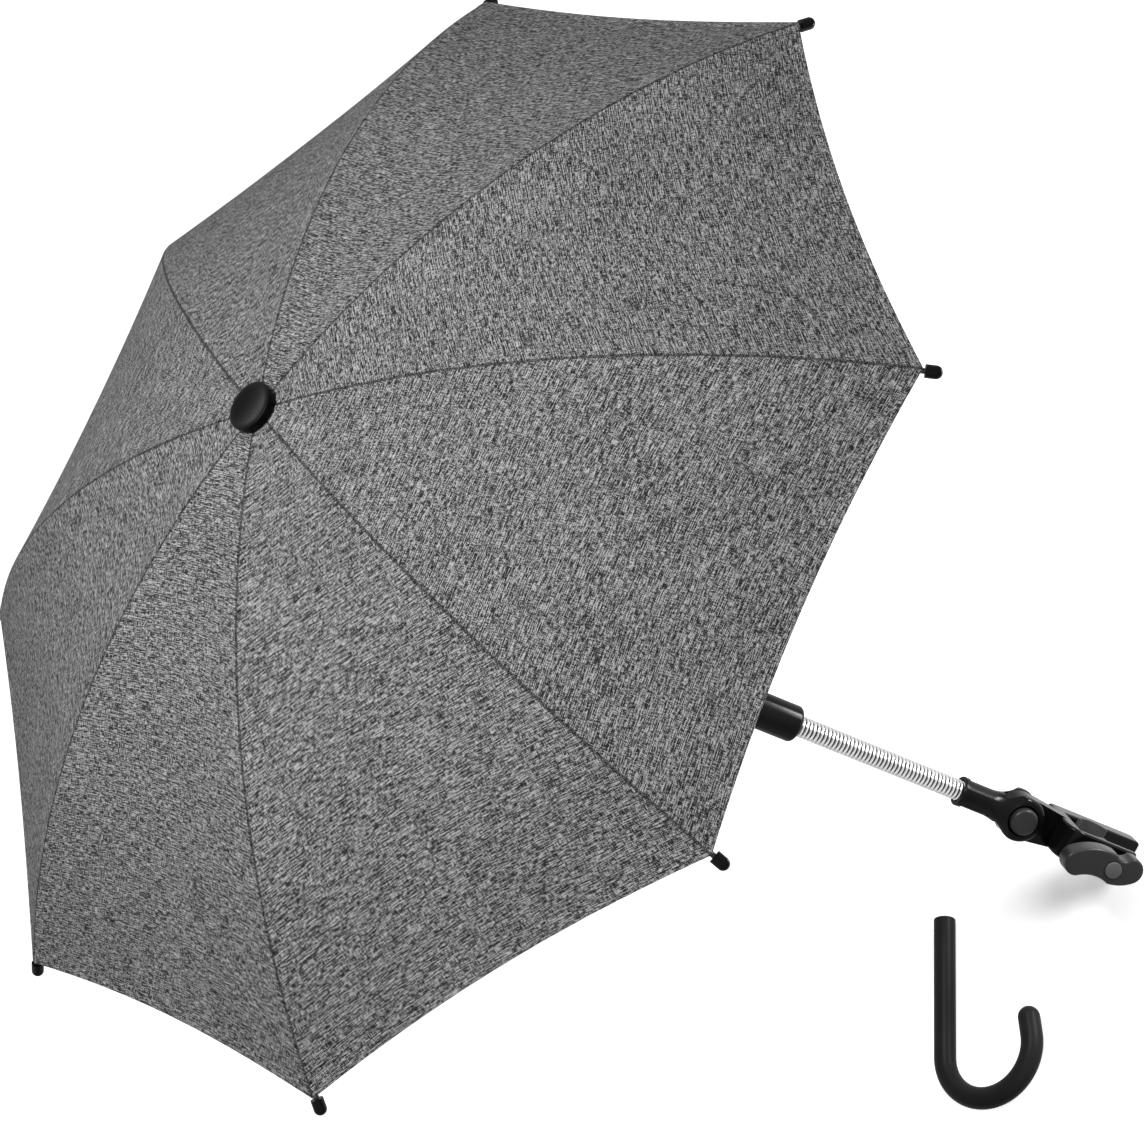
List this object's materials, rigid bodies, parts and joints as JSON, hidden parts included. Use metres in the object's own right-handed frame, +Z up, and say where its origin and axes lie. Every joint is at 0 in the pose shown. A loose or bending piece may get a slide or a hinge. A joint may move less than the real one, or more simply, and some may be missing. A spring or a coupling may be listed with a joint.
{
  "type": "pram parasol",
  "caption": "Small folding parasol for a pram: round scalloped cloth canopy on ribs, tilt joint, wound gooseneck, push-button knuckle and a wing-screw tube clamp, with a spare hooked handle.",
  "frame": {"origin": "middle of the tube that the clamp grips", "axes": "+Z up the open canopy's axis, +Y the way the arm leans from clamp to canopy, +X the tilt joint's pin"},
  "size_m": [0.7412, 0.7412, 0.7625],
  "materials": {
    "canopy_cloth": "grey melange weave",
    "black_plastic": "satin",
    "grey_plastic": "satin",
    "handle_plastic": "satin",
    "rib_steel": "black enamel",
    "shaft_steel": "drawn tube",
    "bright_steel": "turned",
    "dark_steel": "oiled",
    "neck_chrome": "polished",
    "pad_rubber": "matte",
    "insert_brass": "turned"
  },
  "bodies": {
    "clamp": {"clamp_body": "black_plastic", "jaw_pad": "pad_rubber", "threaded_insert": "insert_brass", "j_handle": "handle_plastic"},
    "pad": {"pressure_pad": "black_plastic", "pressure_pad_facing": "pad_rubber"},
    "knob": {"clamp_screw": "bright_steel", "wing_knob": "grey_plastic", "knob_cap": "grey_plastic"},
    "fork": {"knuckle_fork": "black_plastic", "knuckle_pin": "bright_steel", "gooseneck_coil": "neck_chrome", "gooseneck_core": "dark_steel"},
    "knuckle_button": {"knuckle_button": "black_plastic"},
    "collar": {"collar": "black_plastic", "tilt_pin": "bright_steel"},
    "shaft": {"shaft_tube": "shaft_steel", "tilt_tongue": "black_plastic", "crown": "black_plastic", "crown_ring": "bright_steel", "top_cap": "black_plastic"},
    "runner": {"runner": "black_plastic"},
    "runner_button": {"runner_button": "grey_plastic"},
    "rib_1": {"rib_1": "rib_steel", "rib_tip_1": "black_plastic", "canopy_panel_1": "canopy_cloth"},
    "stretcher_1": {"stretcher_1": "rib_steel"},
    "rib_2": {"rib_2": "rib_steel", "rib_tip_2": "black_plastic", "canopy_panel_2": "canopy_cloth"},
    "stretcher_2": {"stretcher_2": "rib_steel"},
    "rib_3": {"rib_3": "rib_steel", "rib_tip_3": "black_plastic", "canopy_panel_3": "canopy_cloth"},
    "stretcher_3": {"stretcher_3": "rib_steel"},
    "rib_4": {"rib_4": "rib_steel", "rib_tip_4": "black_plastic", "canopy_panel_4": "canopy_cloth"},
    "stretcher_4": {"stretcher_4": "rib_steel"},
    "rib_5": {"rib_5": "rib_steel", "rib_tip_5": "black_plastic", "canopy_panel_5": "canopy_cloth"},
    "stretcher_5": {"stretcher_5": "rib_steel"},
    "rib_6": {"rib_6": "rib_steel", "rib_tip_6": "black_plastic", "canopy_panel_6": "canopy_cloth"},
    "stretcher_6": {"stretcher_6": "rib_steel"},
    "rib_7": {"rib_7": "rib_steel", "rib_tip_7": "black_plastic", "canopy_panel_7": "canopy_cloth"},
    "stretcher_7": {"stretcher_7": "rib_steel"},
    "rib_8": {"rib_8": "rib_steel", "rib_tip_8": "black_plastic", "canopy_panel_8": "canopy_cloth"},
    "stretcher_8": {"stretcher_8": "rib_steel"}
  },
  "joints": [
    {"name": "pad_press", "type": "slide", "parent": "clamp", "child": "pad", "axis": [-0.5, -0.7784, 0.3796], "range_m": [-0.002, 0.0045]},
    {"name": "knob_turn", "type": "hinge", "parent": "pad", "child": "knob", "pos_m": [-0.01575, -0.02452, 0.01196], "axis": [-0.5, -0.7784, 0.3796], "range_deg": [-361, 811]},
    {"name": "knuckle_swing", "type": "hinge", "parent": "clamp", "child": "fork", "pos_m": [0, 0.0263, 0.05393], "axis": [-0.5, -0.7784, 0.3796], "range_deg": [-80, 80]},
    {"name": "knuckle_press", "type": "slide", "parent": "fork", "child": "knuckle_button", "axis": [0.5, 0.7784, -0.3796], "range_m": [0, 0.003], "stiffness_N_per_m": 800},
    {"name": "gooseneck_bend", "type": "hinge", "parent": "fork", "child": "collar", "pos_m": [0, 0.0765, 0.15684], "axis": [1, 0, 0], "range_deg": [-40, 40], "deforming": ["gooseneck_coil", "gooseneck_core"]},
    {"name": "canopy_tilt", "type": "hinge", "parent": "collar", "child": "shaft", "pos_m": [0, 0.14247, 0.29211], "axis": [1, 0, 0], "range_deg": [-26, 34]},
    {"name": "runner_press", "type": "slide", "parent": "runner", "child": "runner_button", "axis": [0, 1, 0], "range_m": [0, 0.0015], "stiffness_N_per_m": 600},
    {"name": "canopy_fold", "type": "hinge", "parent": "shaft", "child": "rib_1", "pos_m": [0.0088, 0.14434, 0.70811], "axis": [-0.2079, 0.9781, 0], "range_deg": [0, 67.41], "deforming": ["canopy_panel_1"]},
    {"name": "stretcher_1_swing", "type": "hinge", "parent": "rib_1", "child": "stretcher_1", "pos_m": [0.15513, 0.17544, 0.68238], "axis": [-0.2079, 0.9781, 0], "range_deg": [-134.83, 0]},
    {"name": "runner_travel", "type": "hinge", "parent": "stretcher_1", "child": "runner", "pos_m": [0.0088, 0.14434, 0.65665], "axis": [-0.2079, 0.9781, 0], "range_deg": [0, 67.41]},
    {"name": "rib_2_swing", "type": "hinge", "parent": "shaft", "child": "rib_2", "pos_m": [0.0049, 0.15002, 0.70811], "axis": [-0.8387, 0.5446, 0], "range_deg": [0, 67.41], "deforming": ["canopy_panel_2"]},
    {"name": "stretcher_2_swing", "type": "hinge", "parent": "rib_2", "child": "stretcher_2", "pos_m": [0.08638, 0.27548, 0.68238], "axis": [-0.8387, 0.5446, 0], "range_deg": [-134.83, 0]},
    {"name": "rib_3_swing", "type": "hinge", "parent": "shaft", "child": "rib_3", "pos_m": [-0.00187, 0.15127, 0.70811], "axis": [-0.9781, -0.2079, 0], "range_deg": [0, 67.41], "deforming": ["canopy_panel_3"]},
    {"name": "stretcher_3_swing", "type": "hinge", "parent": "rib_3", "child": "stretcher_3", "pos_m": [-0.03297, 0.2976, 0.68238], "axis": [-0.9781, -0.2079, 0], "range_deg": [-134.83, 0]},
    {"name": "rib_4_swing", "type": "hinge", "parent": "shaft", "child": "rib_4", "pos_m": [-0.00755, 0.14737, 0.70811], "axis": [-0.5446, -0.8387, 0], "range_deg": [0, 67.41], "deforming": ["canopy_panel_4"]},
    {"name": "stretcher_4_swing", "type": "hinge", "parent": "rib_4", "child": "stretcher_4", "pos_m": [-0.13301, 0.22885, 0.68238], "axis": [-0.5446, -0.8387, 0], "range_deg": [-134.83, 0]},
    {"name": "rib_5_swing", "type": "hinge", "parent": "shaft", "child": "rib_5", "pos_m": [-0.0088, 0.1406, 0.70811], "axis": [0.2079, -0.9781, 0], "range_deg": [0, 67.41], "deforming": ["canopy_panel_5"]},
    {"name": "stretcher_5_swing", "type": "hinge", "parent": "rib_5", "child": "stretcher_5", "pos_m": [-0.15513, 0.1095, 0.68238], "axis": [0.2079, -0.9781, 0], "range_deg": [-134.83, 0]},
    {"name": "rib_6_swing", "type": "hinge", "parent": "shaft", "child": "rib_6", "pos_m": [-0.0049, 0.13492, 0.70811], "axis": [0.8387, -0.5446, 0], "range_deg": [0, 67.41], "deforming": ["canopy_panel_6"]},
    {"name": "stretcher_6_swing", "type": "hinge", "parent": "rib_6", "child": "stretcher_6", "pos_m": [-0.08638, 0.00946, 0.68238], "axis": [0.8387, -0.5446, 0], "range_deg": [-134.83, 0]},
    {"name": "rib_7_swing", "type": "hinge", "parent": "shaft", "child": "rib_7", "pos_m": [0.00187, 0.13367, 0.70811], "axis": [0.9781, 0.2079, 0], "range_deg": [0, 67.41], "deforming": ["canopy_panel_7"]},
    {"name": "stretcher_7_swing", "type": "hinge", "parent": "rib_7", "child": "stretcher_7", "pos_m": [0.03297, -0.01266, 0.68238], "axis": [0.9781, 0.2079, 0], "range_deg": [-134.83, 0]},
    {"name": "rib_8_swing", "type": "hinge", "parent": "shaft", "child": "rib_8", "pos_m": [0.00755, 0.13757, 0.70811], "axis": [0.5446, 0.8387, 0], "range_deg": [0, 67.41], "deforming": ["canopy_panel_8"]},
    {"name": "stretcher_8_swing", "type": "hinge", "parent": "rib_8", "child": "stretcher_8", "pos_m": [0.13301, 0.05609, 0.68238], "axis": [0.5446, 0.8387, 0], "range_deg": [-134.83, 0]}
  ],
  "couplings": [
    {"joint": "knob_turn", "follows": "pad_press", "rad_per_m": 3141.6},
    {"joint": "stretcher_1_swing", "follows": "canopy_fold", "ratio": -2},
    {"joint": "runner_travel", "follows": "canopy_fold", "ratio": 1},
    {"joint": "rib_2_swing", "follows": "canopy_fold", "ratio": 1},
    {"joint": "stretcher_2_swing", "follows": "canopy_fold", "ratio": -2},
    {"joint": "rib_3_swing", "follows": "canopy_fold", "ratio": 1},
    {"joint": "stretcher_3_swing", "follows": "canopy_fold", "ratio": -2},
    {"joint": "rib_4_swing", "follows": "canopy_fold", "ratio": 1},
    {"joint": "stretcher_4_swing", "follows": "canopy_fold", "ratio": -2},
    {"joint": "rib_5_swing", "follows": "canopy_fold", "ratio": 1},
    {"joint": "stretcher_5_swing", "follows": "canopy_fold", "ratio": -2},
    {"joint": "rib_6_swing", "follows": "canopy_fold", "ratio": 1},
    {"joint": "stretcher_6_swing", "follows": "canopy_fold", "ratio": -2},
    {"joint": "rib_7_swing", "follows": "canopy_fold", "ratio": 1},
    {"joint": "stretcher_7_swing", "follows": "canopy_fold", "ratio": -2},
    {"joint": "rib_8_swing", "follows": "canopy_fold", "ratio": 1},
    {"joint": "stretcher_8_swing", "follows": "canopy_fold", "ratio": -2}
  ]
}
